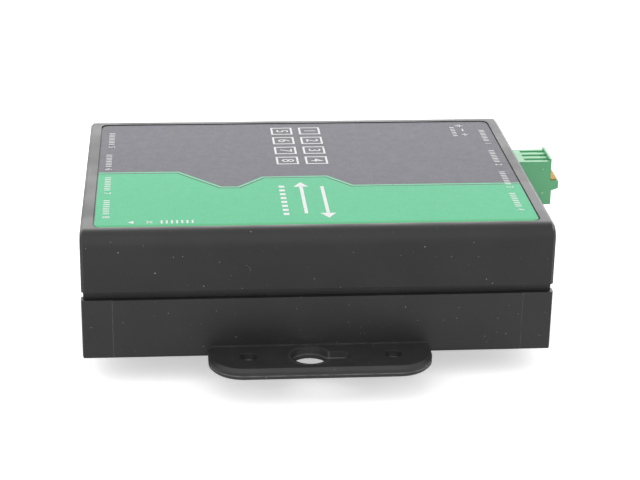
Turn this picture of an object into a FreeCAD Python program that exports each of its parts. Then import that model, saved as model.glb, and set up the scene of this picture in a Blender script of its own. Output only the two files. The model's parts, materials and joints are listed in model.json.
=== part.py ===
import FreeCAD, Part
import math
import os
from types import SimpleNamespace
import Sketcher
from FreeCAD import Placement, Rotation, Vector

# Flat industrial network switch for a 35 mm mounting rail: a two-shell plastic casing with four
# network sockets at each end, a pluggable power terminal at the right end, screw ears at the front
# and back, and a rail clip with a sliding latch underneath.
# X runs along the casing, Y from front to back and Z up. The origin is the middle of the face
# that seats on the rail, right under the middle of the casing. All lengths are millimetres.

SIZES = {
    # casing
    "case_long": 120.3,
    "case_deep": 92.0,
    "case_high": 34.3,
    "base_high": 16.2,
    "gap_high": 2.2,
    "cover_wall": 1.6,
    "base_wall": 3.0,
    "base_over": 0.15,
    "top_thick": 2.3,
    "base_thick": 2.7,
    "top_round": 4.0,
    "foot_round": 1.0,
    "corner_round": 1.0,
    "end_bevel": 0.8,
    "tongue_step": 1.8,
    "tongue_rise": 6.0,
    "tongue_short": 0.4,
    "field_edge": 7.75,
    "field_step": 0.2,
    "rib_wide": 1.2,
    "rib_rise": 2.5,
    "rib_space": 40.0,
    # label
    "label_side": 3.2,
    "label_front": 4.5,
    "label_back": 5.3,
    "label_recess": 0.45,
    "label_round": 2.0,
    "film_thick": 0.3,
    "film_gap": 0.35,
    # screw ears
    "ear_wide": 57.0,
    "ear_reach": 14.4,
    "ear_thick": 3.0,
    "ear_root": 1.5,
    "ear_round": 9.0,
    "ear_bevel": 0.8,
    "ear_under": 0.6,
    "ear_hole_out": 6.8,
    "ear_hole_radius": 2.1,
    "ear_hole_space": 36.8,
    "key_head_radius": 4.7,
    "key_slot_radius": 2.05,
    "key_run": 8.25,
    # end panels
    "panel_inset": 1.05,
    "panel_thick": 2.2,
    "panel_bite": 0.5,
    "panel_fit": 0.1,
    "panel_chamfer": 3.0,
    "window_fit": 0.15,
    # circuit board and the posts that carry it
    "board_stand": 6,
    "board_thick": 1.6,
    "board_end_gap": 0.6,
    "board_side_gap": 0.6,
    "post_gap": 0.4,
    "post_across": 38.4,
    "post_side": 7.0,
    "screw_radius": 1.45,
    "screw_pilot": 1.5,
    "screw_clear": 1.7,
    "screw_head_radius": 2.7,
    "screw_head_high": 2.0,
    "screw_recess_radius": 2.95,
    "screw_recess": 3.5,
    "screw_bite": 9.0,
    "pilot_spare": 1.5,
    "cross_long": 2.8,
    "cross_wide": 0.7,
    "cross_deep": 1.1,
    # network sockets
    "jack_wide": 15.9,
    "jack_high": 13.4,
    "jack_long": 21.0,
    "jack_proud": 0.3,
    "shield_thick": 0.25,
    "shield_fit": 0.05,
    "right_gap": 0.5,
    "header_gap": 1.0,
    "left_gap": 2.5,
    "holder_gap": 0.95,
    "socket_wide": 11.9,
    "socket_low": 3.9,
    "socket_high": 6.7,
    "socket_deep": 14.0,
    "notch_wide": 6.4,
    "notch_high": 1.7,
    "socket_rim": 0.3,
    "wire_pitch": 1.02,
    "wire_wide": 0.45,
    "wire_thick": 0.4,
    "wire_drop": 1.55,
    "wire_inset": 1.4,
    "wire_flat": 1.4,
    "light_wide": 2.5,
    "light_high": 1.5,
    "light_deep": 3.0,
    "light_across": 5.9,
    "light_up": 11.8,
    "light_fit": 0.1,
    # power header and its pins
    "pole_pitch": 3.5,
    "header_across": 35.7,
    "header_wide": 12.7,
    "header_high": 15.4,
    "header_front_proud": 0.6,
    "header_deep": 11.2,
    "header_back": 1.5,
    "header_wall": 1.0,
    "pin_thick": 1.0,
    "pin_up": 4.6,
    "pin_reach": 7.2,
    "pin_behind": 2.2,
    "pin_below": 1.2,
    "pin_fit": 0.08,
    # terminal plug
    "plug_wide": 11.4,
    "plug_high": 13.5,
    "plug_out": 14.9,
    "plug_start": 0.2,
    "plug_fit": 0.15,
    "plug_low": 11.4,
    "nose_out": 2.4,
    "nose_top": 7.5,
    "nose_high": 2.4,
    "nose_root": 3.1,
    "face_step": 0.4,
    "groove_wide": 1.8,
    "groove_deep": 0.35,
    "groove_long": 7.2,
    "ridge_high": 0.8,
    "ridge_thick": 0.6,
    "test_hole_radius": 0.65,
    "pole_wide": 2.9,
    "chamber_low": 0.8,
    "wire_entry": 3.1,
    "chamber_back": 0.6,
    "chamber_long": 8.6,
    "lever_slot": 3.7,
    "lever_fit": 0.1,
    "lever_out": 2.1,
    "lever_stem": 5.4,
    "lever_stroke": 1.1,
    "contact_wall": 0.6,
    "contact_thick": 0.8,
    "contact_fit": 0.05,
    "spring_thick": 0.4,
    "spring_slant": 0.6,
    # power light
    "led_across": 7.2,
    "led_up": 4.2,
    "led_radius": 1.5,
    "led_rim_radius": 1.9,
    "led_rim": 1.0,
    "led_proud": 0.4,
    "led_long": 7.0,
    "led_leg": 0.5,
    "led_leg_space": 2.54,
    "holder_long": 5.5,
    "holder_wide": 5.0,
    "holder_over": 2.6,
    # parts on the board
    "part_gap": 1.5,
    "chip_side": 16.0,
    "chip_high": 1.6,
    "magnetics_long": 15.0,
    "magnetics_wide": 9.4,
    "magnetics_high": 6.0,
    "magnetics_gap": 4.2,
    "magnetics_across": 17.0,
    "crystal_long": 11.0,
    "crystal_wide": 4.6,
    "crystal_high": 3.5,
    "can_radius": 4.0,
    "can_high": 9.0,
    "can_foot": 8.6,
    "can_foot_high": 1.2,
    "coil_side": 12.0,
    "coil_high": 6.0,
    "coil_round": 3.0,
    "regulator_side": 6.0,
    "regulator_high": 1.5,
    # rail clip and latch
    "rail_wide": 35.0,
    "rail_thick": 1.0,
    "rail_fit": 0.2,
    "rail_slack": 0.3,
    "clip_thick": 2.7,
    "clip_deep": 36.0,
    "clip_round": 2.0,
    "seat_relief": 0.2,
    "hook_grip": 2.5,
    "hook_lip": 3.2,
    "hook_wall": 4.3,
    "hook_bevel": 1.2,
    "block_long": 14.0,
    "block_deep": 23.0,
    "latch_wide": 14.0,
    "latch_fit": 0.15,
    "latch_foot": 0.2,
    "latch_tab": 4.0,
    "tongue_wide": 1.8,
    "tongue_thick": 1.3,
    "tongue_low": 1.7,
    "tool_slot_long": 6.0,
    "tool_slot_wide": 1.4,
    "stud_thick": 1.2,
    "stud_wide": 4.0,
    "stud_long": 2.6,
    "stud_in": 3.0,
    "pocket_wide": 5.2,
    "pocket_floor": 1.4,
    "loop_long": 7.2,
    "loop_wide": 4.4,
    "loop_thick": 0.35,
    "loop_bend": 2.2,
    "loop_seat": 1.6,
    "clip_screw_space": 24.0,
    "clip_screw_long": 8.2,
    "sink_depth": 1.3,
    "sink_fit": 0.05,
    "boss_side": 6.4,
    "boss_rise": 3.5,
}

NETWORK_SOCKETS = 4
POLES = 3
SOCKET_WIRE_COUNT = 8
BEVEL_ANGLE = 45


class Size:
    """A length: its value and the formula that ties it to the sheet."""

    def __init__(self, value, formula):
        self.value = value
        self.formula = formula

    def combined(self, sign, other, value):
        return Size(value, "(%s %s %s)" % (self.formula, sign, as_size(other).formula))

    def __add__(self, other):
        return self.combined("+", other, self.value + as_size(other).value)

    def __sub__(self, other):
        return self.combined("-", other, self.value - as_size(other).value)

    def __mul__(self, other):
        return self.combined("*", other, self.value * as_size(other).value)

    def __truediv__(self, other):
        return self.combined("/", other, self.value / as_size(other).value)

    def __neg__(self):
        return Size(-self.value, "(0 - %s)" % self.formula)


def as_size(number):
    """A plain number as a Size, so that both mix in one sum."""
    if isinstance(number, Size):
        return number
    return Size(float(number), "(%s)" % float(number))


doc = FreeCAD.newDocument("network_switch")
sheet = doc.addObject("Spreadsheet::Sheet", "sizes")
for row, (alias, number) in enumerate(SIZES.items(), start=1):
    sheet.set("A%d" % row, alias)
    sheet.set("B%d" % row, str(number))
    sheet.setAlias("B%d" % row, alias)
doc.recompute()
s = SimpleNamespace(**{alias: Size(number, "sizes." + alias) for alias, number in SIZES.items()})

# ---- places that several pieces share ----
half_long = s.case_long / 2
half_deep = s.case_deep / 2
case_low = s.clip_thick
case_top = case_low + s.case_high
base_rim = case_low + s.base_high
cover_rim = base_rim + s.gap_high
floor_top = case_low + s.base_thick
ceiling = case_top - s.top_thick
base_inner = half_deep - s.base_wall
cover_inner = half_deep - s.cover_wall
tongue_outer = half_deep - s.tongue_step
tongue_top = base_rim + s.tongue_rise
board_low = floor_top + s.board_stand
board_top = board_low + s.board_thick
panel_out = half_long - s.panel_inset
panel_in = panel_out - s.panel_thick
panel_reach = base_inner + s.panel_bite
panel_upper = cover_inner - s.panel_fit
jack_front = panel_out + s.jack_proud
header_front = panel_out + s.header_front_proud
header_rear = header_front - s.header_deep
jack_rear = jack_front - s.jack_long
post_along = jack_rear - s.post_gap - s.post_side / 2
lamp_across = s.led_across - half_deep
pole_places = [s.header_across + s.pole_pitch * step for step in (-1, 0, 1)]
right_last = s.header_across - s.header_wide / 2 - s.header_gap - s.jack_wide / 2
right_jacks = [right_last - (s.jack_wide + s.right_gap) * step for step in range(NETWORK_SOCKETS)]
left_first = lamp_across + s.holder_wide / 2 + s.holder_gap + s.jack_wide / 2
left_jacks = [left_first + (s.jack_wide + s.left_gap) * step for step in range(NETWORK_SOCKETS)]
post_places = [(post_along * a, s.post_across * b) for a in (-1, 1) for b in (-1, 1)]
clip_screw_places = [s.clip_screw_space / 2 * side for side in (-1, 1)]

# ---- drawing tools ----
PLANES = {"XY": ("XY_Plane", 1), "YZ": ("YZ_Plane", 1), "XZ": ("XZ_Plane", -1)}
ORIGIN_POINT = (-1, 1)
sub_parts = []


def bind(thing, path, size):
    """Ties one property of a document object to the sheet."""
    thing.setExpression(path, as_size(size).formula)


def new_body(label, solids=1):
    """An empty body, listed as one sub-part of the switch."""
    body = doc.addObject("PartDesign::Body", label)
    body.Label = label
    body.AllowCompound = solids > 1
    sub_parts.append((body, solids))
    return body


def pin_point(sketch, geometry, point, x, y):
    """Fixes one point of a sketch at (x, y) from the sketch's origin."""
    for kind, size in (("DistanceX", x), ("DistanceY", y)):
        size = as_size(size)
        rule = Sketcher.Constraint(kind, *ORIGIN_POINT, geometry, point, size.value)
        index = sketch.addConstraint(rule)
        bind(sketch, "Constraints[%d]" % index, size)


def set_radius(sketch, geometry, radius):
    index = sketch.addConstraint(Sketcher.Constraint("Radius", geometry, as_size(radius).value))
    bind(sketch, "Constraints[%d]" % index, radius)


def at(x, y):
    return Vector(as_size(x).value, as_size(y).value, 0)


def polygon(*corners):
    """A closed outline of straight lines through the corners."""
    def draw(sketch):
        first = sketch.GeometryCount
        count = len(corners)
        for step in range(count):
            line = Part.LineSegment(at(*corners[step]), at(*corners[(step + 1) % count]))
            sketch.addGeometry(line)
        for step in range(count):
            following = first + (step + 1) % count
            sketch.addConstraint(Sketcher.Constraint("Coincident", first + step, 2, following, 1))
            pin_point(sketch, first + step, 1, *corners[step])
    return draw


def rectangle(x_low, x_high, y_low, y_high):
    return polygon((x_low, y_low), (x_high, y_low), (x_high, y_high), (x_low, y_high))


def centred(x, y, wide, high):
    """A rectangle about its middle."""
    x, y, wide, high = as_size(x), as_size(y), as_size(wide), as_size(high)
    return rectangle(x - wide / 2, x + wide / 2, y - high / 2, y + high / 2)


def circle(x, y, radius):
    def draw(sketch):
        middle = at(x, y)
        index = sketch.addGeometry(Part.Circle(middle, Vector(0, 0, 1), as_size(radius).value))
        pin_point(sketch, index, 3, x, y)
        set_radius(sketch, index, radius)
    return draw


def arc_chain(centres, radius, turns):
    """Equal arcs about the centres, joined by tangent lines, each arc turning by `turns` degrees."""
    quarter = 90.0
    start_angle = {180.0: -quarter, 90.0: -2 * quarter}[turns]

    def draw(sketch):
        first = sketch.GeometryCount
        count = len(centres)
        size = as_size(radius).value
        ends = []
        for step, (x, y) in enumerate(centres):
            low = math.radians(start_angle + step * turns)
            high = low + math.radians(turns)
            middle = at(x, y)
            ring = Part.Circle(middle, Vector(0, 0, 1), size)
            sketch.addGeometry(Part.ArcOfCircle(ring, low, high))
            pin_point(sketch, first + step, 3, x, y)
            set_radius(sketch, first + step, radius)
            reach = [middle + Vector(math.cos(a), math.sin(a), 0) * size for a in (low, high)]
            ends.append(reach)
        for step in range(count):
            following = (step + 1) % count
            line = sketch.addGeometry(Part.LineSegment(ends[step][1], ends[following][0]))
            sketch.addConstraint(Sketcher.Constraint("Tangent", first + step, 2, line, 1))
            sketch.addConstraint(Sketcher.Constraint("Tangent", line, 2, first + following, 1))
    return draw


def slot(x_low, x_high, y, radius):
    """A round-ended slot along the sketch's X, between the centres of its two ends."""
    return arc_chain([(x_high, y), (x_low, y)], radius, 180.0)


def rounded(x_low, x_high, y_low, y_high, radius):
    """A rectangle with four round corners."""
    x_low, x_high, y_low, y_high = map(as_size, (x_low, x_high, y_low, y_high))
    left, right = x_low + radius, x_high - radius
    low, high = y_low + radius, y_high - radius
    return arc_chain([(left, low), (right, low), (right, high), (left, high)], radius, 90.0)


def new_sketch(body, name, plane, level, outlines):
    role, facing = PLANES[plane]
    sketch = body.newObject("Sketcher::SketchObject", name)
    support = [item for item in body.Origin.OriginFeatures if item.Role == role][0]
    sketch.AttachmentSupport = (support, [""])
    sketch.MapMode = "FlatFace"
    bind(sketch, "AttachmentOffset.Base.z", as_size(level) * facing)
    for draw in outlines:
        draw(sketch)
    return sketch


def pad(body, name, plane, low, high, *outlines):
    """Adds material between two levels across the plane."""
    low, high = as_size(low), as_size(high)
    start = low if PLANES[plane][1] > 0 else high
    feature = body.newObject("PartDesign::Pad", name)
    feature.Profile = new_sketch(body, name + "_outline", plane, start, outlines)
    bind(feature, "Length", high - low)
    body.Tip = feature
    return feature


def pocket(body, name, plane, low, high, *outlines):
    """Takes material away between two levels across the plane."""
    low, high = as_size(low), as_size(high)
    start = high if PLANES[plane][1] > 0 else low
    feature = body.newObject("PartDesign::Pocket", name)
    feature.Profile = new_sketch(body, name + "_outline", plane, start, outlines)
    bind(feature, "Length", high - low)
    body.Tip = feature
    return feature


def close(a, b):
    return abs(as_size(a).value - as_size(b).value) < 1e-4


def edges_that(body, test):
    """Names of the body's edges whose middle point and direction pass the test."""
    doc.recompute()
    names = []
    for index, edge in enumerate(body.Tip.Shape.Edges, start=1):
        middle = edge.CenterOfMass
        run = edge.BoundBox
        if test(middle, run):
            names.append("Edge%d" % index)
    return names


def soften(body, name, kind, size, test):
    """A Fillet or Chamfer of one size on the edges that pass the test."""
    names = edges_that(body, test)
    base = body.Tip
    feature = body.newObject("PartDesign::" + kind, name)
    feature.Base = (base, names)
    bind(feature, "Radius" if kind == "Fillet" else "Size", size)
    body.Tip = feature
    return feature


def repeat_across(body, name, feature, pitch, count):
    """Copies a feature along Y at a pitch."""
    doc.recompute()
    pattern = body.newObject("PartDesign::LinearPattern", name)
    pattern.Originals = [feature]
    pattern.Direction = ([item for item in body.Origin.OriginFeatures if item.Role == "Y_Axis"][0], [""])
    pattern.Occurrences = count
    bind(pattern, "Length", as_size(pitch) * (count - 1))
    body.Tip = pattern
    return pattern


def place(thing, x, y, z, turn=0):
    """Puts a sub-part at (x, y, z), turned about Z by `turn` degrees."""
    thing.Placement = Placement(Vector(0, 0, 0), Rotation(Vector(0, 0, 1), turn))
    for axis, size in zip("xyz", (x, y, z)):
        bind(thing, "Placement.Base." + axis, size)


# ---- casing ----
def panel_groove(body, name, side, low, high, reach):
    """The groove across the casing that an end panel stands in."""
    inner = (panel_in - s.panel_fit) * side
    outer = (panel_out + s.panel_fit) * side
    first, last = (inner, outer) if side > 0 else (outer, inner)
    pocket(body, name, "YZ", first, last, rectangle(-reach, reach, low, high))


def base_tray():
    body = new_body("base_tray")
    tray_end = half_long + s.base_over
    pad(body, "tray_section", "YZ", -tray_end, tray_end, polygon(
        (-half_deep, case_low), (half_deep, case_low), (half_deep, base_rim),
        (tongue_outer, base_rim), (tongue_outer, tongue_top), (base_inner, tongue_top),
        (base_inner, floor_top), (-base_inner, floor_top), (-base_inner, tongue_top),
        (-tongue_outer, tongue_top), (-tongue_outer, base_rim), (-half_deep, base_rim)))
    soften(body, "foot_rounding", "Fillet", s.foot_round, lambda middle, run: (
        close(middle.z, case_low) and (close(abs(middle.y), half_deep) or close(abs(middle.x), tray_end))))
    beyond = s.corner_round * 2
    pocket(body, "corner_rounding", "XY", case_low, base_rim,
           rectangle(-tray_end - beyond, tray_end + beyond, -half_deep - beyond, half_deep + beyond),
           rounded(-tray_end, tray_end, -half_deep, half_deep, s.corner_round))
    tongue_end = half_long - s.tongue_short
    pocket(body, "tongue_ends", "XY", base_rim, tongue_top,
           rectangle(tongue_end, tray_end, -half_deep, half_deep),
           rectangle(-tray_end, -tongue_end, -half_deep, half_deep))
    field = half_long - s.field_edge
    pocket(body, "wall_fields", "XY", case_low, base_rim, *[
        rectangle(*along, *across)
        for along in ((-tray_end, -field), (field, tray_end))
        for across in ((-half_deep, s.field_step - half_deep), (half_deep - s.field_step, half_deep))])
    for name, side in (("groove_right", 1), ("groove_left", -1)):
        panel_groove(body, name, side, floor_top - s.panel_bite - s.panel_fit, tongue_top,
                     panel_reach + s.panel_fit)

    half_ear = s.ear_wide / 2
    ear_end = half_deep + s.ear_reach
    ear_top = case_low + s.ear_thick
    ear_start = half_deep - s.ear_root - s.ear_round
    ear_plans = [rounded(-half_ear, half_ear, -ear_end, -ear_start, s.ear_round),
                 rounded(-half_ear, half_ear, ear_start, ear_end, s.ear_round)]
    ear_widest = case_low + s.ear_under
    ear_shoulder = ear_top - s.ear_bevel
    pad(body, "ears", "XY", ear_widest, ear_shoulder, *ear_plans)
    pad(body, "ear_tops", "XY", ear_shoulder, ear_top, *ear_plans).TaperAngle = -BEVEL_ANGLE
    under = pad(body, "ear_undersides", "XY", ear_widest, ear_widest + s.ear_under, *ear_plans)
    under.Reversed = True
    under.TaperAngle = -BEVEL_ANGLE
    hole_line = half_deep + s.ear_hole_out
    key_half = (s.key_run + s.key_head_radius + s.key_slot_radius) / 2
    key_head = s.key_head_radius - key_half
    for name, line in (("front", -hole_line), ("back", hole_line)):
        pocket(body, name + "_key_head", "XY", case_low, ear_top, circle(key_head, line, s.key_head_radius))
        pocket(body, name + "_key_slot", "XY", case_low, ear_top,
               slot(key_head, key_head + s.key_run, line, s.key_slot_radius))
        pocket(body, name + "_screw_holes", "XY", case_low, ear_top,
               circle(-s.ear_hole_space / 2, line, s.ear_hole_radius),
               circle(s.ear_hole_space / 2, line, s.ear_hole_radius))

    rib_end = panel_in - s.board_end_gap
    pad(body, "floor_ribs", "XY", floor_top, floor_top + s.rib_rise,
        centred(0, -s.rib_space / 2, rib_end * 2, s.rib_wide),
        centred(0, s.rib_space / 2, rib_end * 2, s.rib_wide))
    pad(body, "board_posts", "XY", floor_top, board_low,
        *[centred(x, y, s.post_side, s.post_side) for x, y in post_places])
    pad(body, "clip_bosses", "XY", floor_top, floor_top + s.boss_rise,
        *[centred(0, y, s.boss_side, s.boss_side) for y in clip_screw_places])
    pocket(body, "screw_recesses", "XY", case_low, case_low + s.screw_recess,
           *[circle(x, y, s.screw_recess_radius) for x, y in post_places])
    pocket(body, "screw_holes", "XY", case_low + s.screw_recess, board_low,
           *[circle(x, y, s.screw_clear) for x, y in post_places])
    pocket(body, "clip_pilots", "XY", case_low, floor_top + s.boss_rise,
           *[circle(0, y, s.screw_pilot) for y in clip_screw_places])


def label_plan(inset):
    """The label field on the cover, drawn in from its edge by `inset`."""
    return rounded(inset - half_long + s.label_side, half_long - s.label_side - inset,
                   inset - half_deep + s.label_front, half_deep - s.label_back - inset,
                   s.label_round)


def top_cover():
    body = new_body("top_cover")
    pad(body, "cover_section", "YZ", -half_long, half_long, polygon(
        (-half_deep, cover_rim), (-cover_inner, cover_rim), (-cover_inner, ceiling),
        (cover_inner, ceiling), (cover_inner, cover_rim), (half_deep, cover_rim),
        (half_deep, case_top), (-half_deep, case_top)))
    soften(body, "long_edges", "Fillet", s.top_round, lambda middle, run: (
        close(abs(middle.y), half_deep) and close(middle.z, case_top) and close(run.YLength, 0)))
    soften(body, "inner_edges", "Fillet", s.top_round - s.cover_wall, lambda middle, run: (
        close(abs(middle.y), cover_inner) and close(middle.z, ceiling) and close(run.YLength, 0)))
    soften(body, "end_edges", "Chamfer", s.end_bevel, lambda middle, run: (
        close(abs(middle.x), half_long) and close(middle.z, case_top)))
    pocket(body, "label_recess", "XY", case_top - s.label_recess, case_top, label_plan(as_size(0)))
    for name, side in (("groove_right", 1), ("groove_left", -1)):
        panel_groove(body, name, side, ceiling, ceiling + s.panel_bite + s.panel_fit,
                     panel_upper - s.panel_chamfer + s.panel_bite + s.panel_fit)
    pad(body, "screw_posts", "XY", board_top, ceiling,
        *[centred(x, y, s.post_side, s.post_side) for x, y in post_places])
    pocket(body, "screw_pilots", "XY", board_top, board_top + s.screw_bite + s.pilot_spare,
           *[circle(x, y, s.screw_pilot) for x, y in post_places])


def label_film():
    body = new_body("label_film")
    seat = case_top - s.label_recess
    pad(body, "film", "XY", seat, seat + s.film_thick, label_plan(s.film_gap))


def port_panel(label, side, jacks):
    """An end panel: a plate that stands in the grooves, wider above the tongues of the tray,
    with a window for each socket."""
    body = new_body(label)
    first, last = (panel_in, panel_out) if side > 0 else (-panel_out, -panel_in)
    low = floor_top - s.panel_bite
    shoulder = tongue_top + s.panel_fit
    high = ceiling + s.panel_bite
    cut = s.panel_chamfer
    pad(body, label + "_plate", "YZ", first, last, polygon(
        (-panel_reach, low), (panel_reach, low), (panel_reach, shoulder), (panel_upper, shoulder),
        (panel_upper, high - cut), (panel_upper - cut, high), (cut - panel_upper, high),
        (-panel_upper, high - cut), (-panel_upper, shoulder), (-panel_reach, shoulder)))
    half_window = s.jack_wide / 2 + s.window_fit
    window_top = board_top + s.jack_high + s.window_fit
    pocket(body, label + "_windows", "YZ", first, last, *[
        rectangle(y - half_window, y + half_window, board_top - s.window_fit, window_top)
        for y in jacks])
    return body, first, last


def port_panels():
    body, first, last = port_panel("port_panel_right", 1, right_jacks)
    half_header = s.header_wide / 2 + s.window_fit
    pocket(body, "header_window", "YZ", first, last, rectangle(
        s.header_across - half_header, s.header_across + half_header, board_top - s.window_fit,
        board_top + s.header_high + s.window_fit))
    body, first, last = port_panel("port_panel_left", -1, left_jacks)
    pocket(body, "light_hole", "YZ", first, last, circle(
        lamp_across, board_top + s.led_up, s.led_radius + s.window_fit))


def case_screws():
    body = new_body("case_screws", solids=len(post_places))
    seat = case_low + s.screw_recess
    pad(body, "screw_heads", "XY", seat - s.screw_head_high, seat,
        *[circle(x, y, s.screw_head_radius) for x, y in post_places])
    pad(body, "screw_shanks", "XY", seat, board_top + s.screw_bite,
        *[circle(x, y, s.screw_radius) for x, y in post_places])
    for name, along, across in (("cross_along", s.cross_long, s.cross_wide),
                                ("cross_across", s.cross_wide, s.cross_long)):
        low = seat - s.screw_head_high
        pocket(body, name, "XY", low, low + s.cross_deep,
               *[centred(x, y, along, across) for x, y in post_places])


# ---- circuit board ----
def circuit_board():
    body = new_body("circuit_board")
    along = panel_in - s.board_end_gap
    across = base_inner - s.board_side_gap
    pad(body, "board_sheet", "XY", board_low, board_top, rectangle(-along, along, -across, across))
    pocket(body, "board_screw_holes", "XY", board_low, board_top,
           *[circle(x, y, s.screw_clear) for x, y in post_places])
    pin_x = header_rear - s.pin_behind + s.pin_thick / 2
    hole = s.pin_thick + s.pin_fit * 2
    pocket(body, "pin_holes", "XY", board_low, board_top,
           *[centred(pin_x, y, hole, hole) for y in pole_places])
    leg_x = s.holder_long + s.board_end_gap / 2 - along + s.led_leg / 2
    leg = s.led_leg + s.pin_fit * 2
    pocket(body, "light_leg_holes", "XY", board_low, board_top, *[
        centred(leg_x, lamp_across + s.led_leg_space / 2 * side, leg, leg)
        for side in (-1, 1)])


def block(label, x, y, long, wide, high):
    """A plain moulded package on the board."""
    body = new_body(label)
    pad(body, label + "_case", "XY", board_top, board_top + high, centred(x, y, long, wide))
    return body


def board_parts():
    block("switch_chip", as_size(0), as_size(0), s.chip_side, s.chip_side, s.chip_high)
    number = 1
    magnetics_along = jack_rear - s.magnetics_gap - s.magnetics_wide / 2
    for along in (-1, 1):
        for across in (-1, 1):
            block("magnetics_%d" % number, magnetics_along * along, s.magnetics_across * across,
                  s.magnetics_wide, s.magnetics_long, s.magnetics_high)
            number += 1
    crystal = new_body("crystal")
    crystal_end = (s.crystal_long - s.crystal_wide) / 2
    pad(crystal, "crystal_can", "XY", board_top, board_top + s.crystal_high,
        slot(-crystal_end, crystal_end, -s.chip_side, s.crystal_wide / 2))

    row = s.post_across - s.coil_side / 2
    coil_right = post_along - s.post_side / 2 - s.part_gap
    coil_left = coil_right - s.coil_side
    coil = new_body("power_inductor")
    pad(coil, "coil_case", "XY", board_top, board_top + s.coil_high, rounded(
        coil_left, coil_right, row - s.coil_side / 2, row + s.coil_side / 2, s.coil_round))
    regulator_x = coil_left - s.part_gap - s.regulator_side / 2
    block("regulator_chip", regulator_x, row, s.regulator_side, s.regulator_side, s.regulator_high)
    first_can = regulator_x - s.regulator_side / 2 - s.part_gap - s.can_foot / 2
    cans = new_body("capacitors", solids=2)
    can_places = [first_can, first_can - s.can_foot - s.part_gap]
    pad(cans, "can_feet", "XY", board_top, board_top + s.can_foot_high,
        *[centred(x, row, s.can_foot, s.can_foot) for x in can_places])
    pad(cans, "can_bodies", "XY", board_top + s.can_foot_high, board_top + s.can_foot_high + s.can_high,
        *[circle(x, row, s.can_radius) for x in can_places])


def power_light():
    """A round lamp in a holder on the board, with its dome through the left end panel."""
    y = lamp_across
    z = board_top + s.led_up
    holder_front = s.board_end_gap / 2 - (panel_in - s.board_end_gap)
    holder_back = holder_front + s.holder_long
    holder = new_body("led_holder")
    pad(holder, "holder_block", "YZ", holder_front, holder_back,
        rectangle(y - s.holder_wide / 2, y + s.holder_wide / 2, board_top, z + s.holder_over))
    pocket(holder, "holder_bore", "YZ", holder_front, holder_back,
           circle(y, z, s.led_rim_radius + s.pin_fit))
    lamp = new_body("power_led")
    tip = -panel_out - s.led_proud
    rim_end = tip + s.led_long
    pad(lamp, "lamp_body", "YZ", tip, rim_end, circle(y, z, s.led_radius))
    soften(lamp, "lamp_dome", "Chamfer", s.led_radius / 2,
           lambda middle, run: close(middle.x, tip) and close(run.XLength, 0))
    pad(lamp, "lamp_rim", "YZ", rim_end, rim_end + s.led_rim, circle(y, z, s.led_rim_radius))
    legs = [y + s.led_leg_space / 2 * side for side in (-1, 1)]
    pad(lamp, "lamp_legs", "YZ", rim_end + s.led_rim, holder_back + s.led_leg,
        *[centred(leg, z, s.led_leg, s.led_leg) for leg in legs])
    pad(lamp, "leg_drops", "XY", board_low - s.pin_below, z + s.led_leg / 2,
        *[centred(holder_back + s.led_leg / 2, leg, s.led_leg, s.led_leg) for leg in legs])


# ---- network sockets ----
def socket_profile(margin):
    """The socket's mouth seen from the front: a wide upper part with the latch notch below it."""
    half = s.socket_wide / 2 + margin
    notch = s.notch_wide / 2 + margin
    low = s.socket_low - margin
    high = s.socket_low + s.socket_high + margin
    notch_low = s.socket_low - s.notch_high - margin
    return polygon((-half, low), (-notch, low), (-notch, notch_low), (notch, notch_low),
                   (notch, low), (half, low), (half, high), (-half, high))


def light_windows(margin, middle=0, up=0):
    """The two link lights in the upper corners of a socket's face."""
    return [centred(s.light_across * side + middle, s.light_up + up, s.light_wide + margin * 2,
                    s.light_high + margin * 2) for side in (-1, 1)]


def network_jack(number, x, y, turn):
    """One shielded network socket: plastic housing, metal shield and eight sprung wires."""
    housing = new_body("jack_housing_%d" % number)
    skin = s.shield_thick + s.shield_fit
    face = -skin
    pad(housing, "housing_block", "YZ", skin - s.jack_long, face, rectangle(
        skin - s.jack_wide / 2, s.jack_wide / 2 - skin, 0, s.jack_high - skin))
    pocket(housing, "socket", "YZ", face - s.socket_deep, face, socket_profile(as_size(0)))
    pocket(housing, "light_seats", "YZ", face - s.light_deep, face, *light_windows(s.light_fit))
    place(housing, x, y, board_top, turn)

    shield = new_body("jack_shield_%d" % number)
    pad(shield, "shield_block", "YZ", -s.jack_long, 0,
        rectangle(-s.jack_wide / 2, s.jack_wide / 2, 0, s.jack_high))
    pocket(shield, "shield_inside", "XY", 0, s.jack_high - s.shield_thick, rectangle(
        s.shield_thick - s.jack_long, -s.shield_thick,
        s.shield_thick - s.jack_wide / 2, s.jack_wide / 2 - s.shield_thick))
    pocket(shield, "shield_mouth", "YZ", -s.shield_thick, 0, socket_profile(s.socket_rim))
    pocket(shield, "shield_light_holes", "YZ", -s.shield_thick, 0, *light_windows(s.light_fit))
    place(shield, x, y, board_top, turn)

    wires = new_body("jack_contacts_%d" % number, solids=SOCKET_WIRE_COUNT)
    top = s.socket_low + s.socket_high - s.wire_thick / 4
    front = face - s.wire_inset
    back = face - s.socket_deep + s.wire_thick / 4
    bend = back + s.wire_flat
    first = s.wire_pitch * (1 - SOCKET_WIRE_COUNT) / 2 - s.wire_wide / 2
    wire = pad(wires, "wire", "XZ", first, first + s.wire_wide, polygon(
        (front, top), (bend, top - s.wire_drop), (back, top - s.wire_drop),
        (back, top - s.wire_drop - s.wire_thick), (bend, top - s.wire_drop - s.wire_thick),
        (front, top - s.wire_thick)))
    repeat_across(wires, "wire_row", wire, s.wire_pitch, SOCKET_WIRE_COUNT)
    place(wires, x, y, board_top, turn)


def network_jacks():
    """Sockets 1 to 4 at the right end, from back to front, and 5 to 8 at the left end."""
    for step, y in enumerate(right_jacks, start=1):
        network_jack(step, jack_front, y, 0)
    for step, y in enumerate(reversed(left_jacks), start=1):
        network_jack(NETWORK_SOCKETS + step, -jack_front, y, 180)


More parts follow.
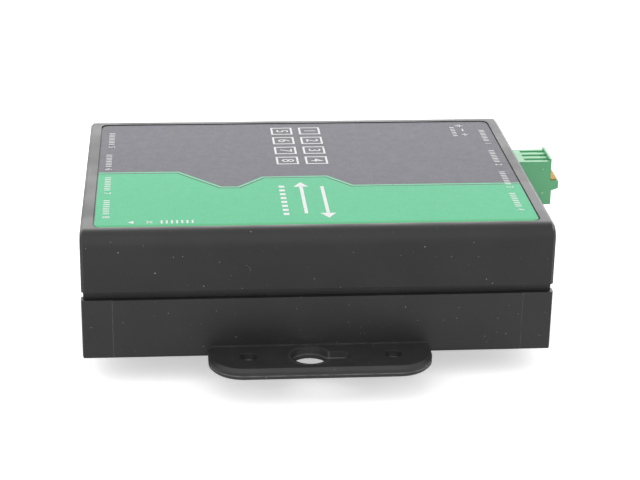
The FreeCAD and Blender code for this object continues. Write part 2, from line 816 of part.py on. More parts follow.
def link_lights():
    body = new_body("link_lights", solids=4 * NETWORK_SOCKETS)
    seat = jack_front - s.shield_thick - s.shield_fit - s.light_deep
    for name, first, last, jacks in (("right_lights", seat, jack_front, right_jacks),
                                     ("left_lights", -jack_front, -seat, left_jacks)):
        pad(body, name, "YZ", first, last, *[
            light for y in jacks for light in light_windows(as_size(0), y, board_top)])


# ---- power terminal ----
def power_header():
    body = new_body("power_header")
    half = s.header_wide / 2
    top = board_top + s.header_high
    pad(body, "header_block", "YZ", header_rear, header_front,
        rectangle(s.header_across - half, s.header_across + half, board_top, top))
    inner = half - s.header_wall
    pocket(body, "header_cavity", "YZ", header_rear + s.header_back, header_front, rectangle(
        s.header_across - inner, s.header_across + inner, board_top + s.header_wall, top - s.header_wall))
    hole = s.pin_thick + s.pin_fit * 2
    pocket(body, "header_pin_holes", "YZ", header_rear, header_rear + s.header_back,
           *[centred(y, board_top + s.pin_up, hole, hole) for y in pole_places])


def header_pins():
    body = new_body("header_pins", solids=POLES)
    middle = board_top + s.pin_up
    low, high = middle - s.pin_thick / 2, middle + s.pin_thick / 2
    back = header_rear - s.pin_behind
    tip = header_rear + s.header_back + s.pin_reach
    foot = board_low - s.pin_below
    first = pole_places[0] - s.pin_thick / 2
    pin = pad(body, "pin", "XZ", first, first + s.pin_thick, polygon(
        (back, high), (back, foot), (back + s.pin_thick, foot), (back + s.pin_thick, low),
        (tip, low), (tip, high)))
    repeat_across(body, "pin_row", pin, s.pole_pitch, POLES)


plug_base = half_long + s.plug_start
plug_face = half_long + s.plug_out
plug_floor = case_low + s.plug_low
plug_top = plug_floor + s.plug_high
plug_tip = header_rear + s.header_back + s.plug_fit * 2
chamber_floor = plug_floor + s.chamber_low
nose_level = plug_floor + s.nose_top
slot_top = nose_level + s.lever_slot
chamber_start = plug_base + s.chamber_back
chamber_end = chamber_start + s.chamber_long
contact_half = s.pin_thick / 2 + s.pin_fit + s.contact_wall


def terminal_plug():
    body = new_body("terminal_plug")
    half = s.plug_wide / 2
    low_side, high_side = s.header_across - half, s.header_across + half
    pad(body, "plug_block", "YZ", plug_base, plug_face, rectangle(low_side, high_side, plug_floor, plug_top))
    inner = s.header_wide / 2 - s.header_wall - s.plug_fit
    pad(body, "plug_tongue", "YZ", plug_tip, plug_base, rectangle(
        s.header_across - inner, s.header_across + inner,
        board_top + s.header_wall + s.plug_fit, plug_top - s.header_wall))
    pad(body, "plug_nose", "XZ", low_side, high_side, polygon(
        (plug_face - s.nose_out, nose_level), (plug_face + s.nose_out, nose_level),
        (plug_face + s.nose_out, nose_level - s.nose_high),
        (plug_face + s.face_step, nose_level - s.nose_root), (plug_face + s.face_step, plug_floor),
        (plug_face - s.nose_out, plug_floor)))
    pad(body, "plug_ridge", "XY", plug_top, plug_top + s.ridge_high,
        rectangle(plug_face - s.ridge_thick, plug_face, low_side, high_side))
    beyond = plug_face + s.nose_out + s.nose_out
    entry_top = chamber_floor + s.wire_entry
    for number, y in enumerate(pole_places, start=1):
        pocket(body, "pole_%d" % number, "XZ", y - s.pole_wide / 2, y + s.pole_wide / 2, polygon(
            (chamber_start, chamber_floor), (beyond, chamber_floor), (beyond, entry_top),
            (chamber_end, entry_top), (chamber_end, nose_level), (beyond, nose_level),
            (beyond, slot_top), (chamber_start, slot_top)))
    channel = contact_half * 2 + s.contact_fit * 2
    pocket(body, "contact_channels", "YZ", plug_tip, chamber_start,
           *[centred(y, board_top + s.pin_up, channel, channel) for y in pole_places])
    groove_end = plug_face - s.ridge_thick
    pocket(body, "top_grooves", "YZ", groove_end - s.groove_long, groove_end, *[
        rectangle(y - s.groove_wide / 2, y + s.groove_wide / 2, plug_top - s.groove_deep, plug_top)
        for y in pole_places])
    hole_x = groove_end - s.test_hole_radius * 2
    pocket(body, "test_holes", "XY", slot_top, plug_top,
           *[circle(hole_x, y, s.test_hole_radius) for y in pole_places])


def plug_levers():
    """The three release levers: wedges that are pushed in towards the casing."""
    low = nose_level + s.lever_fit
    high = slot_top - s.lever_fit
    half = s.pole_wide / 2 - s.lever_fit
    for number, y in enumerate(pole_places, start=1):
        body = new_body("plug_lever_%d" % number)
        pad(body, "lever_wedge", "XZ", y - half, y + half, polygon(
            (plug_face - s.lever_stem, low), (plug_face + s.lever_out, low),
            (plug_face, high), (plug_face - s.lever_stem, high)))


def plug_metal():
    contacts = new_body("plug_contacts", solids=POLES)
    middle = board_top + s.pin_up
    bar_low = chamber_floor + s.contact_fit
    bar_start = chamber_start + s.contact_fit
    web_end = bar_start + s.contact_thick
    first = pole_places[0] - contact_half
    bar = pad(contacts, "contact", "XZ", first, first + contact_half * 2, polygon(
        (plug_tip + s.contact_fit, middle - contact_half), (bar_start, middle - contact_half),
        (bar_start, bar_low), (chamber_end, bar_low), (chamber_end, bar_low + s.contact_thick),
        (web_end, bar_low + s.contact_thick), (web_end, middle + contact_half),
        (plug_tip + s.contact_fit, middle + contact_half)))
    repeat_across(contacts, "contact_row", bar, s.pole_pitch, POLES)
    bore = s.pin_thick + s.pin_fit * 2
    pocket(contacts, "contact_bores", "YZ", plug_tip + s.contact_fit, bar_start,
           *[centred(y, middle, bore, bore) for y in pole_places])

    clamps = new_body("plug_clamps", solids=POLES)
    back = web_end + s.contact_fit
    roof = slot_top - s.contact_fit
    front = plug_face - s.lever_stem - s.lever_stroke - s.lever_fit
    foot = bar_low + s.contact_thick + s.contact_fit
    knee = front - s.lever_stroke
    toe = foot + s.wire_entry
    first = pole_places[0] - contact_half
    strip = pad(clamps, "clamp", "XZ", first, first + contact_half * 2, polygon(
        (back, foot), (back, roof), (front, roof), (knee, toe), (knee - s.spring_thick, toe),
        (front - s.spring_slant, roof - s.spring_thick), (back + s.spring_thick, roof - s.spring_thick),
        (back + s.spring_thick, foot)))
    repeat_across(clamps, "clamp_row", strip, s.pole_pitch, POLES)


# ---- rail clip ----
grip_line = s.rail_wide / 2 + s.rail_fit
lip_top = -(s.rail_thick + s.rail_slack)
foot_level = lip_top - s.hook_lip
block_start = grip_line + s.rail_fit
block_end = block_start + s.block_long
stud_far = -(block_end - s.stud_in)
loop_end = stud_far + s.stud_thick + s.latch_fit + s.loop_long


def din_clip():
    """The fixed part of the rail clip: seat plate, moulded hook and the latch's guide block."""
    body = new_body("din_clip")
    half = s.clip_deep / 2
    hook_end = grip_line + s.hook_wall
    hook_tip = grip_line - s.hook_grip
    seat_end = hook_tip - s.seat_relief
    pad(body, "clip_section", "XZ", -half, half, polygon(
        (-block_end, case_low), (-block_end, s.seat_relief), (-seat_end, s.seat_relief),
        (-seat_end, 0), (seat_end, 0), (seat_end, s.seat_relief), (grip_line, s.seat_relief),
        (grip_line, lip_top),
        (hook_tip, lip_top), (hook_tip, foot_level + s.hook_bevel),
        (hook_tip + s.hook_bevel, foot_level), (hook_end - s.hook_bevel, foot_level),
        (hook_end, foot_level + s.hook_bevel), (hook_end, case_low)))
    soften(body, "plate_corners", "Fillet", s.clip_round, lambda middle, run: (
        close(abs(middle.y), half) and close(run.XLength, 0) and close(run.YLength, 0)
        and (close(middle.x, -block_end) or close(middle.x, hook_end))))
    pad(body, "guide_block", "XY", foot_level, s.seat_relief,
        rectangle(-block_end, -block_start, -s.block_deep / 2, s.block_deep / 2))
    half_latch = s.latch_wide / 2 + s.latch_fit
    half_tongue = half_latch + s.tongue_wide
    groove_low = foot_level + s.tongue_low - s.latch_fit
    groove_top = foot_level + s.tongue_low + s.tongue_thick + s.latch_fit
    pocket(body, "latch_channel", "YZ", -block_end, -block_start, polygon(
        (-half_latch, foot_level), (half_latch, foot_level), (half_latch, groove_low),
        (half_tongue, groove_low), (half_tongue, groove_top), (half_latch, groove_top),
        (half_latch, 0), (-half_latch, 0), (-half_latch, groove_top), (-half_tongue, groove_top),
        (-half_tongue, groove_low), (-half_latch, groove_low)))
    pad(body, "spring_stud", "XY", -s.stud_long, 0,
        rectangle(stud_far, stud_far + s.stud_thick, -s.stud_wide / 2, s.stud_wide / 2))
    pocket(body, "clip_screw_holes", "XY", 0, case_low,
           *[circle(0, y, s.screw_pilot + s.pin_fit) for y in clip_screw_places])
    soften(body, "countersinks", "Chamfer", s.sink_depth, lambda middle, run: (
        close(middle.z, 0) and close(middle.x, 0) and close(run.XLength, (s.screw_pilot + s.pin_fit) * 2)))


def din_latch():
    """The sliding latch: pulled out along -X, it lets the rail go."""
    body = new_body("din_latch")
    half = s.latch_wide / 2
    top = -s.latch_fit
    low = foot_level + s.latch_foot
    lip = -(grip_line - s.hook_grip)
    end = -(block_end + s.latch_tab)
    pad(body, "latch_section", "XZ", -half, half, polygon(
        (end, top), (end, low), (lip - s.hook_bevel, low), (lip, low + s.hook_bevel),
        (lip, lip_top), (-grip_line, lip_top), (-grip_line, top)))
    tongue_low = foot_level + s.tongue_low
    pad(body, "latch_tongues", "YZ", -block_end, -block_start, rectangle(
        -half - s.tongue_wide + s.latch_fit, half + s.tongue_wide - s.latch_fit,
        tongue_low, tongue_low + s.tongue_thick))
    pocket(body, "spring_pocket", "XY", low + s.pocket_floor, top, rectangle(
        stud_far - s.latch_fit, loop_end + s.latch_fit, -s.pocket_wide / 2, s.pocket_wide / 2))
    slot_x = end + s.latch_tab / 2
    pocket(body, "tool_slot", "XY", low, top, centred(slot_x, 0, s.tool_slot_wide, s.tool_slot_long))


def loop_outline(inset):
    """The spring loop seen from below: a long octagon, drawn in by `inset`."""
    start = loop_end - s.loop_long + inset
    half = s.loop_wide / 2 - inset
    middle = loop_end - s.loop_long / 2
    flat = s.loop_long / 2 - s.loop_bend
    return polygon((start, -s.loop_seat / 2), (middle - flat, -half), (middle + flat, -half),
                   (loop_end - inset, -s.loop_seat / 2), (loop_end - inset, s.loop_seat / 2),
                   (middle + flat, half), (middle - flat, half), (start, s.loop_seat / 2))


def latch_spring():
    """A closed steel loop that pushes the latch back in."""
    body = new_body("latch_spring")
    pad(body, "loop", "XY", -s.stud_long, -s.latch_fit * 2,
        loop_outline(as_size(0)), loop_outline(s.loop_thick))


def clip_screws():
    """Two countersunk screws that hold the clip to the floor of the tray."""
    screws = []
    for number, y in enumerate(clip_screw_places, start=1):
        head = doc.addObject("Part::Cone", "clip_screw_head_%d" % number)
        bind(head, "Radius1", s.screw_radius + s.sink_depth)
        bind(head, "Radius2", s.screw_radius)
        bind(head, "Height", s.sink_depth)
        shank = doc.addObject("Part::Cylinder", "clip_screw_shank_%d" % number)
        bind(shank, "Radius", s.screw_radius)
        bind(shank, "Height", s.clip_screw_long)
        screw = doc.addObject("Part::Fuse", "clip_screw_%d" % number)
        screw.Base = head
        screw.Tool = shank
        place(head, 0, y, s.sink_fit)
        place(shank, 0, y, s.sink_fit)
        screws.append(screw)
    group = doc.addObject("Part::Compound", "clip_screws")
    group.Label = "clip_screws"
    group.Links = screws
    sub_parts.append((group, len(screws)))


# ---- build, check and write ----
def check_document():
    doc.recompute()
    for item in doc.Objects:
        if "Invalid" in item.State or "Error" in item.State:
            raise RuntimeError("%s did not build: %s" % (item.Name, item.State))
        if item.TypeId == "PartDesign::Pocket":
            if item.Shape.Volume > item.BaseFeature.Shape.Volume - 1e-6:
                raise RuntimeError("%s cuts nothing" % item.Name)
    for item, solids in sub_parts:
        shape = item.Shape
        if shape.isNull() or not shape.isValid():
            raise RuntimeError("%s has no valid shape" % item.Label)
        if len(shape.Solids) != solids:
            raise RuntimeError("%s has %d solids, not %d" % (item.Label, len(shape.Solids), solids))


base_tray()
top_cover()
label_film()
port_panels()
case_screws()
circuit_board()
board_parts()
power_light()
network_jacks()
link_lights()
power_header()
header_pins()
terminal_plug()
plug_levers()
plug_metal()
din_clip()
din_latch()
latch_spring()
clip_screws()
check_document()

os.makedirs("parts", exist_ok=True)
for item, solids in sub_parts:
    item.Shape.exportStep("parts/%s.step" % item.Label)
print("%d sub-parts written" % len(sub_parts))
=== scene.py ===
import json
import math

import bmesh
import bpy
from mathutils import Matrix, Vector


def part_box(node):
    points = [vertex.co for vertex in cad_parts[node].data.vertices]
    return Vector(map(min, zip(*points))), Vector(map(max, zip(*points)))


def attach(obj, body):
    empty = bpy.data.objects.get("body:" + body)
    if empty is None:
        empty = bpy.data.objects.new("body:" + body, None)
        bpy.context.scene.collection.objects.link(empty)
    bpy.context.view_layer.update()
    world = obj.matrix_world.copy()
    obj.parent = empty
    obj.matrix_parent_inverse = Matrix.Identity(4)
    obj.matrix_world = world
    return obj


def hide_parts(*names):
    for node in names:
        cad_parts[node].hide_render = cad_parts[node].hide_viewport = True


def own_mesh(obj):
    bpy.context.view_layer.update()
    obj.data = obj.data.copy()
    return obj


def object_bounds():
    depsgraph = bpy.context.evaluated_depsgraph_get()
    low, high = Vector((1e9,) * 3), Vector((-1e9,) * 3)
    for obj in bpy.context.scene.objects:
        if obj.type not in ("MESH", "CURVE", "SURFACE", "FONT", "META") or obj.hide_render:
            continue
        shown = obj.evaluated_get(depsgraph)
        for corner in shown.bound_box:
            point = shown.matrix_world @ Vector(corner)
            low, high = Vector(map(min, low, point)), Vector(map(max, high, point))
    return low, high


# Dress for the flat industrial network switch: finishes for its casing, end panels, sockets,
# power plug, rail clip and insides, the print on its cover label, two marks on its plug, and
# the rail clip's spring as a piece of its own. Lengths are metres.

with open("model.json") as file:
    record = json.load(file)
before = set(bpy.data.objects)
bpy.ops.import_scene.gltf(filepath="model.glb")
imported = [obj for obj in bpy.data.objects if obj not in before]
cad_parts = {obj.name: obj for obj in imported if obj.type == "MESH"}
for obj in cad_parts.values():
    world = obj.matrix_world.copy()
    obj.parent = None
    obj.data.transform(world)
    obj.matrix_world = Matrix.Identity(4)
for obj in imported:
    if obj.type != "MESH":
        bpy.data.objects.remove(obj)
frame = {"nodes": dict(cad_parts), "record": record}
source_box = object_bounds()

MM = 0.001
film_low, film_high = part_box("label_film")
plug_low, plug_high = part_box("terminal_plug")
tray_low, tray_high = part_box("base_tray")
case_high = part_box("top_cover")[1]


# ---- finishes ----
def grey(level):
    return (level, level, level, 1)


def rgb(red, green, blue):
    return (red, green, blue, 1)


class Finish:
    """One procedural material, built round a Principled shader."""

    def __init__(self, name, **plain):
        self.material = bpy.data.materials.new(name)
        self.material.use_nodes = True
        tree = self.material.node_tree
        self.nodes = tree.nodes
        self.links = tree.links
        self.shader = self.nodes["Principled BSDF"]
        for name, value in plain.items():
            self.socket(name).default_value = value
        self.place = self.add("ShaderNodeTexCoord", {}).outputs["Object"]
        self.normal = None

    def socket(self, name):
        """The shader's input of that name, written in small letters with underscores."""
        return self.shader.inputs[name.replace("_", " ").title().replace("Ior", "IOR")]

    def add(self, kind, inputs, **settings):
        """Adds a node. Inputs that are sockets are linked, the others are set."""
        node = self.nodes.new(kind)
        for name, value in settings.items():
            setattr(node, name, value)
        for key, value in inputs.items():
            if isinstance(value, bpy.types.NodeSocket):
                self.links.new(value, node.inputs[key])
            else:
                node.inputs[key].default_value = value
        return node

    def axis(self, name):
        """One coordinate of the place on the object."""
        return self.add("ShaderNodeSeparateXYZ", {0: self.place}).outputs[name]

    def stretched(self, along, across, up):
        """The place on the object, drawn out or squeezed along each axis."""
        return self.add("ShaderNodeMapping", {
            "Vector": self.place, "Scale": (along, across, up)}).outputs[0]

    def maths(self, kind, first, second=0.0):
        return self.add("ShaderNodeMath", {0: first, 1: second}, operation=kind).outputs[0]

    def times(self, first, second):
        return self.maths("MULTIPLY", first, second)

    def highest(self, first, *others):
        for other in others:
            first = self.maths("MAXIMUM", first, other)
        return first

    def band(self, value, low, high, start=0, end=1):
        """Maps value from low...high to start...end, and holds it there."""
        return self.add("ShaderNodeMapRange", {
            "Value": value, "From Min": low, "From Max": high,
            "To Min": start, "To Max": end}).outputs[0]

    def line(self, value, middle, wide):
        """1 along a thin line where value is `middle`, and 0 away from it."""
        off = self.maths("ABSOLUTE", self.maths("SUBTRACT", value, middle))
        return self.band(off, wide * 0.25, wide * 0.55, 1, 0)

    def noise(self, size, detail=2.0, place=None):
        """Soft random noise with waves `size` across."""
        return self.add("ShaderNodeTexNoise", {
            "Vector": place or self.place, "Scale": 1 / size, "Detail": detail}).outputs["Fac"]

    def patches(self, size, detail, low, high, start=0, end=1):
        """Random patches, `size` across: the noise from low...high, mapped to start...end."""
        return self.band(self.noise(size, detail), low, high, start, end)

    def specks(self, width, rare, place=None):
        """Scattered specks up to `width` across: 1 on each, 0 between, fewer as `rare` rises."""
        return self.band(self.noise(width * 3, 0, place), rare, rare + 0.02)

    def mix(self, share, first, second, kind="MIX"):
        return self.add("ShaderNodeMix", {0: share, 6: first, 7: second},
                        data_type="RGBA", blend_type=kind).outputs[2]

    def scaled(self, tint, factor):
        """The colour made darker or paler by a factor that varies over the surface."""
        shade = self.add("ShaderNodeCombineColor", {0: factor, 1: factor, 2: factor}).outputs[0]
        return self.mix(1.0, tint, shade, "MULTIPLY")

    def relief(self, height, depth, strength=1.0):
        """Bumps on the surface, laid over those already there."""
        inputs = {"Height": height, "Distance": depth, "Strength": strength}
        if self.normal:
            inputs["Normal"] = self.normal
        self.normal = self.add("ShaderNodeBump", inputs).outputs[0]

    def soft_edges(self, radius):
        """Edges catch the light as a mould's small radius does."""
        self.normal = self.add("ShaderNodeBevel", {"Radius": radius}, samples=4).outputs[0]

    def done(self, **linked):
        """Links the shader's inputs and gives the finished material."""
        for name, value in linked.items():
            self.links.new(value, self.socket(name))
        if self.normal:
            self.links.new(self.normal, self.shader.inputs["Normal"])
        return self.material


FILM_SHINE = 0.165  # the label's specular level
FILM_PIT = grey(0.03)
DUST = rgb(0.48, 0.48, 0.47)
# paler colour painted on the ears in patches, as painted light
EAR_PAINTED_LIGHT = rgb(0.026, 0.026, 0.027)
# pale colour of the painted highlight lines along the tray's edges
EDGE_HIGHLIGHT = rgb(0.14, 0.14, 0.14)
# pale colour of the painted highlight along the case's right-hand top edge
CASE_HIGHLIGHT = rgb(0.20, 0.20, 0.21)

EAR_ROOT = tray_high.y - 14.2 * MM  # where the screw ears leave the tray's long walls
EAR_RIM = tray_low.z + 1.2 * MM  # height of the ears' rim
KEYHOLE = (-2.8 * MM, 52.8 * MM, 0)  # middle of each keyhole's head: X, and Y without its sign
KEYHOLE_RIM = 5.35 * MM
WALL_STEP = tray_high.x - 7.85 * MM  # steps in the long walls, near both ends
FINE_LINE = 0.34 * MM


def tray_wear(finish, tint):
    """Painted light: paler patches on the ears, and highlight lines at ear root, rim, keyhole and
    wall steps.
    """
    away = finish.maths("ABSOLUTE", finish.axis("Y"))
    ears = finish.band(away, EAR_ROOT, EAR_ROOT + 0.3 * MM)
    # the ears painted paler in patches: painted light that brightens them
    ear_brightening = finish.times(ears, finish.patches(5 * MM, 3, 0.3, 0.7, 0.45, 1))
    tint = finish.mix(ear_brightening, tint, EAR_PAINTED_LIGHT)
    root = finish.line(away, EAR_ROOT + 0.2 * MM, 0.5 * MM)
    rim = finish.times(ears, finish.line(finish.axis("Z"), EAR_RIM, FINE_LINE))
    wall = finish.band(away, EAR_ROOT - 0.8 * MM, EAR_ROOT - 0.5 * MM)
    aside = finish.maths("ABSOLUTE", finish.axis("X"))
    steps = finish.times(wall, finish.line(aside, WALL_STEP, 0.3 * MM))
    flat = finish.add("ShaderNodeCombineXYZ", {0: finish.axis("X"), 1: away}).outputs[0]
    from_hole = finish.add("ShaderNodeVectorMath", {0: flat, 1: KEYHOLE},
                           operation="DISTANCE").outputs["Value"]
    hole_rim = finish.times(ears, finish.line(from_hole, KEYHOLE_RIM, FINE_LINE))
    # painted highlight lines along the ears' root, rim and keyholes and the wall steps
    lines = finish.highest(finish.times(root, 0.45), rim, finish.times(hole_rim, 0.6),
                           finish.times(steps, 0.4))
    broken = finish.patches(3 * MM, 4, 0.35, 0.6, 0.35, 1)
    return finish.mix(finish.times(lines, broken), tint, EDGE_HIGHLIGHT)


def case_wear(finish, tint):
    """A painted highlight: the case painted paler along its right-hand top edge, where it catches
    the light.
    """
    top = finish.band(finish.axis("Z"), case_high.z - 1.6 * MM, case_high.z - 0.8 * MM)
    edge = finish.times(top, finish.line(finish.axis("X"), case_high.x - 0.5 * MM, 1.0 * MM))
    broken = finish.patches(3 * MM, 4, 0.35, 0.6, 0.5, 1)
    return finish.mix(finish.times(edge, broken), tint, CASE_HIGHLIGHT)


def dusted(finish, tint, amount):
    """Pale specks and short fibres that have settled on the surface."""
    fine = finish.specks(0.10 * MM, 0.912 - amount * 0.1)
    coarse = finish.specks(0.14 * MM, 0.940 - amount * 0.1)
    fibres = finish.specks(0.10 * MM, 0.913 - amount * 0.1, finish.stretched(0.22, 0.5, 1))
    marks = finish.highest(finish.times(fine, 0.3), coarse, finish.times(fibres, 0.25))
    return finish.mix(marks, tint, DUST)


def moulded(name, dark, pale, rough, grain=0.35 * MM, dust=0.35, edge=0.25 * MM,
            specular=0.5, painted_light=None):
    """Moulded plastic: fine spark grain, faint cloudy patches, painted light where given, and dust.
    """
    finish = Finish(name, specular_ior_level=specular)
    finish.soft_edges(edge)
    tint = finish.mix(finish.patches(22 * MM, 3, 0.35, 0.65), dark, pale)
    tint = finish.mix(finish.patches(0.6 * MM, 2, 0.45, 0.75, 0, 0.35), tint, pale)
    # painted light on the surface, when it is given
    if painted_light:
        tint = painted_light(finish, tint)
    if dust:
        tint = dusted(finish, tint, dust)
    finish.relief(finish.noise(grain, 2), 0.012 * MM, 0.6)
    finish.relief(finish.noise(6 * MM, 2), 0.03 * MM, 0.25)
    rub = finish.patches(14 * MM, 4, 0.4, 0.7, rough, rough + 0.1)
    return finish.done(base_color=tint, roughness=rub)


def printed(name, dark, pale, mottle=0.015, pitted=0.6, painted_edge_shade=None, edge_line=0.0):
    """The satin film of the label, with speckle and pits; at its front edge it turns deeper, a
    painted shade where the film curls down.
    """
    finish = Finish(name, specular_ior_level=FILM_SHINE)
    tint = finish.mix(finish.patches(0.45 * MM, 2, 0.35, 0.7), dark, pale)
    tint = finish.scaled(tint, finish.patches(30 * MM, 2, 0.3, 0.7, 0.985, 1.015))
    # painted shade: a deeper colour along the label's front edge, where the curled film reflects
    # less light
    if painted_edge_shade:
        front = finish.band(finish.axis("Y"), edge_line + 0.7 * MM, edge_line + 1.9 * MM, 1, 0)
        tint = finish.mix(front, tint, painted_edge_shade)
    tint = finish.scaled(tint, finish.patches(2.6 * MM, 4, 0.35, 0.65, 1 - mottle, 1 + mottle))
    pits = finish.times(finish.specks(0.26 * MM, 0.80), pitted)
    tint = finish.mix(pits, tint, FILM_PIT)
    finish.relief(finish.noise(0.5 * MM, 2), 0.01 * MM, 0.5)
    return finish.done(base_color=tint,
                       roughness=finish.patches(1.5 * MM, 3, 0.35, 0.7, 0.46, 0.50))


def metal(name, dark, pale, rough, along):
    """Plated or plain metal with fine lines drawn along one axis and dull patches."""
    finish = Finish(name, metallic=1.0)
    finish.soft_edges(0.08 * MM)
    lines = finish.noise(0.4 * MM, 3, finish.stretched(*along))
    tint = finish.mix(finish.patches(4 * MM, 3, 0.4, 0.7), pale, dark)
    finish.relief(lines, 0.006 * MM, 0.5)
    return finish.done(base_color=tint, roughness=finish.band(lines, 0.3, 0.7, rough, rough + 0.14))


def board_finish(name):
    """Green solder mask over copper tracks, with tinned pads."""
    finish = Finish(name, specular_ior_level=0.5, coat_weight=0.3, coat_roughness=0.2)
    tracks = finish.add("ShaderNodeTexBrick", {
        "Vector": finish.place, "Scale": 1 / (9 * MM), "Mortar Size": 0.035, "Mortar Smooth": 0.1,
        "Brick Width": 0.9, "Row Height": 0.14, "Color1": grey(0), "Color2": grey(0.1),
        "Mortar": grey(1)}, offset=0.37)
    copper = finish.band(tracks.outputs["Color"], 0.05, 0.6)
    tint = finish.mix(copper, rgb(0.010, 0.085, 0.035), rgb(0.03, 0.17, 0.07))
    tint = finish.mix(finish.specks(0.7 * MM, 0.62), tint, rgb(0.5, 0.5, 0.47))
    finish.relief(copper, 0.03 * MM)
    return finish.done(base_color=tint, roughness=finish.patches(3 * MM, 2, 0.3, 0.7, 0.3, 0.42))


def lens_finish(name, tint, shade, clear):
    """A moulded light cap, milky or `clear`."""
    finish = Finish(name, transmission_weight=clear, ior=1.49)
    mottled = finish.mix(finish.patches(1.2 * MM, 2, 0.35, 0.65), tint, shade)
    finish.relief(finish.noise(0.4 * MM, 1), 0.01 * MM, 0.4)
    return finish.done(base_color=mottled,
                       roughness=finish.patches(1 * MM, 2, 0.3, 0.7, 0.12, 0.25))


finishes = {
    # the cover's plastic: painted darker than the tray's paler copy, and with a painted highlight
    # along its right-hand top edge
    "case_plastic": moulded("case_plastic", grey(0.0065), rgb(0.0112, 0.0112, 0.0122), 0.40,
                            specular=0.48, painted_light=case_wear),
    "label_film": printed("label_film", rgb(0.076, 0.073, 0.094), rgb(0.108, 0.105, 0.128),
                          mottle=0.07),
    "panel_plastic": moulded("panel_plastic", grey(0.011), grey(0.018), 0.34,
                             grain=0.5 * MM, dust=0.2),
    "screw_steel": metal("screw_steel", rgb(0.30, 0.29, 0.28), rgb(0.56, 0.55, 0.53), 0.26,
                         along=(1, 1, 0.1)),
    "circuit_board": board_finish("circuit_board"),
    "chip_black": moulded("chip_black", grey(0.012), grey(0.024), 0.5, dust=0, edge=0.1 * MM),
    "shield_metal": metal("shield_metal", rgb(0.44, 0.43, 0.41), rgb(0.67, 0.66, 0.63), 0.24,
                          along=(1, 1, 0.12)),
    "capacitor_can": metal("capacitor_can", rgb(0.45, 0.45, 0.46), rgb(0.72, 0.72, 0.73), 0.30,
                           along=(1, 1, 0.1)),
    "jack_plastic": moulded("jack_plastic", grey(0.009), grey(0.016), 0.45, dust=0,
                            edge=0.1 * MM),
    "contact_gold": metal("contact_gold", rgb(0.62, 0.37, 0.10), rgb(0.83, 0.56, 0.21), 0.22,
                          along=(0.15, 1, 1)),
    "light_lens": lens_finish("light_lens", rgb(0.62, 0.68, 0.52), rgb(0.50, 0.60, 0.40), 0.35),
    "lamp_lens": lens_finish("lamp_lens", rgb(0.10, 0.55, 0.13), rgb(0.06, 0.40, 0.09), 0.45),
    "terminal_green": moulded("terminal_green", rgb(0.122, 0.435, 0.205),
                              rgb(0.142, 0.480, 0.232), 0.36, dust=0.15, edge=0.12 * MM),
    "pin_tin": metal("pin_tin", rgb(0.50, 0.50, 0.48), rgb(0.70, 0.69, 0.66), 0.27,
                     along=(0.15, 1, 1)),
    "lever_orange": moulded("lever_orange", rgb(0.96, 0.50, 0.15), rgb(0.98, 0.55, 0.19), 0.38,
                            dust=0.1, edge=0.12 * MM),
    "spring_steel": metal("spring_steel", rgb(0.36, 0.35, 0.34), rgb(0.58, 0.57, 0.55), 0.22,
                          along=(0.2, 1, 1)),
    "clip_plastic": moulded("clip_plastic", grey(0.012), grey(0.020), 0.38, dust=0.2),
    "latch_plastic": moulded("latch_plastic", grey(0.016), grey(0.026), 0.36, dust=0.2),
}

# a paler copy of the case plastic for the tray: painted paler than the cover so the tray looks more
# brightly lit, with painted light on its ears and edges
tray_plastic_painted_paler = moulded("tray_plastic_painted_paler", grey(0.0135), rgb(0.0195, 0.0190, 0.0205), 0.40,
                       specular=0.46, painted_light=tray_wear)

for part in frame["record"]["subparts"]:
    node = frame["nodes"][part["node"]]
    finish = tray_plastic_painted_paler if part["node"] == "base_tray" else finishes[part["material_slot"]]
    if not node.material_slots:
        node.data.materials.append(None)
    for place in node.material_slots:
        place.link = "OBJECT"
        place.material = finish


# ---- new pieces ----
def scene_object(name, data):
    thing = bpy.data.objects.new(name, data)
    bpy.context.scene.collection.objects.link(thing)
    return thing


def mesh_object(name, shape):
    """Puts a bmesh into the scene as an object, and frees it."""
    mesh = bpy.data.meshes.new(name)
    shape.to_mesh(mesh)
    shape.free()
    return scene_object(name, mesh)


def new_piece(name, shape, finish, body="switch"):
    """Turns a bmesh into a piece of the switch that rides on `body`."""
    piece = mesh_object(name, shape)
    piece.data.materials.append(finish)
    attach(piece, body)
    return piece


def disc(shape, sides, radius):
    """Draws a flat face with that many sides round the origin, and gives its corners."""
    return bmesh.ops.create_circle(shape, cap_ends=True, segments=sides, radius=radius)["verts"]


def raise_faces(shape, faces, way):
    """Draws flat faces out along `way` into a closed solid."""
    drawn = bmesh.ops.extrude_face_region(shape, geom=faces, use_keep_orig=True)
    tops = [part for part in drawn["geom"] if isinstance(part, bmesh.types.BMVert)]
    bmesh.ops.translate(shape, verts=tops, vec=way)
    bmesh.ops.recalc_face_normals(shape, faces=shape.faces)


# ---- print on the cover label ----
PRINT_HIGH = 0.02 * MM
GAP_WIDE = 0.55 * MM
LINE_WIDE = 0.75 * MM
FIELD_ROUND = 1.9 * MM
LABEL_INSET = Vector((3.4, 4.85))

# the green print, with painted shade along its front edge
green_print = printed("green_print", rgb(0.040, 0.392, 0.184), rgb(0.050, 0.442, 0.219),
                      pitted=0.2, painted_edge_shade=rgb(0.004, 0.33, 0.10), edge_line=film_low.y)
line_print = printed("line_print", rgb(0.10, 0.48, 0.26), rgb(0.13, 0.54, 0.30))
gap_print = printed("gap_print", rgb(0.035, 0.06, 0.05), rgb(0.05, 0.08, 0.07))
white_print = printed("white_print", grey(0.60), grey(0.70))


def on_cover(x, y):
    """A place on the cover in millimetres, from a corner LABEL_INSET outside the label's own."""
    return film_low.xy + (Vector((x, y)) - LABEL_INSET) * MM


def right(distance):
    return Vector((distance, 0))


def back(distance):
    return Vector((0, distance))


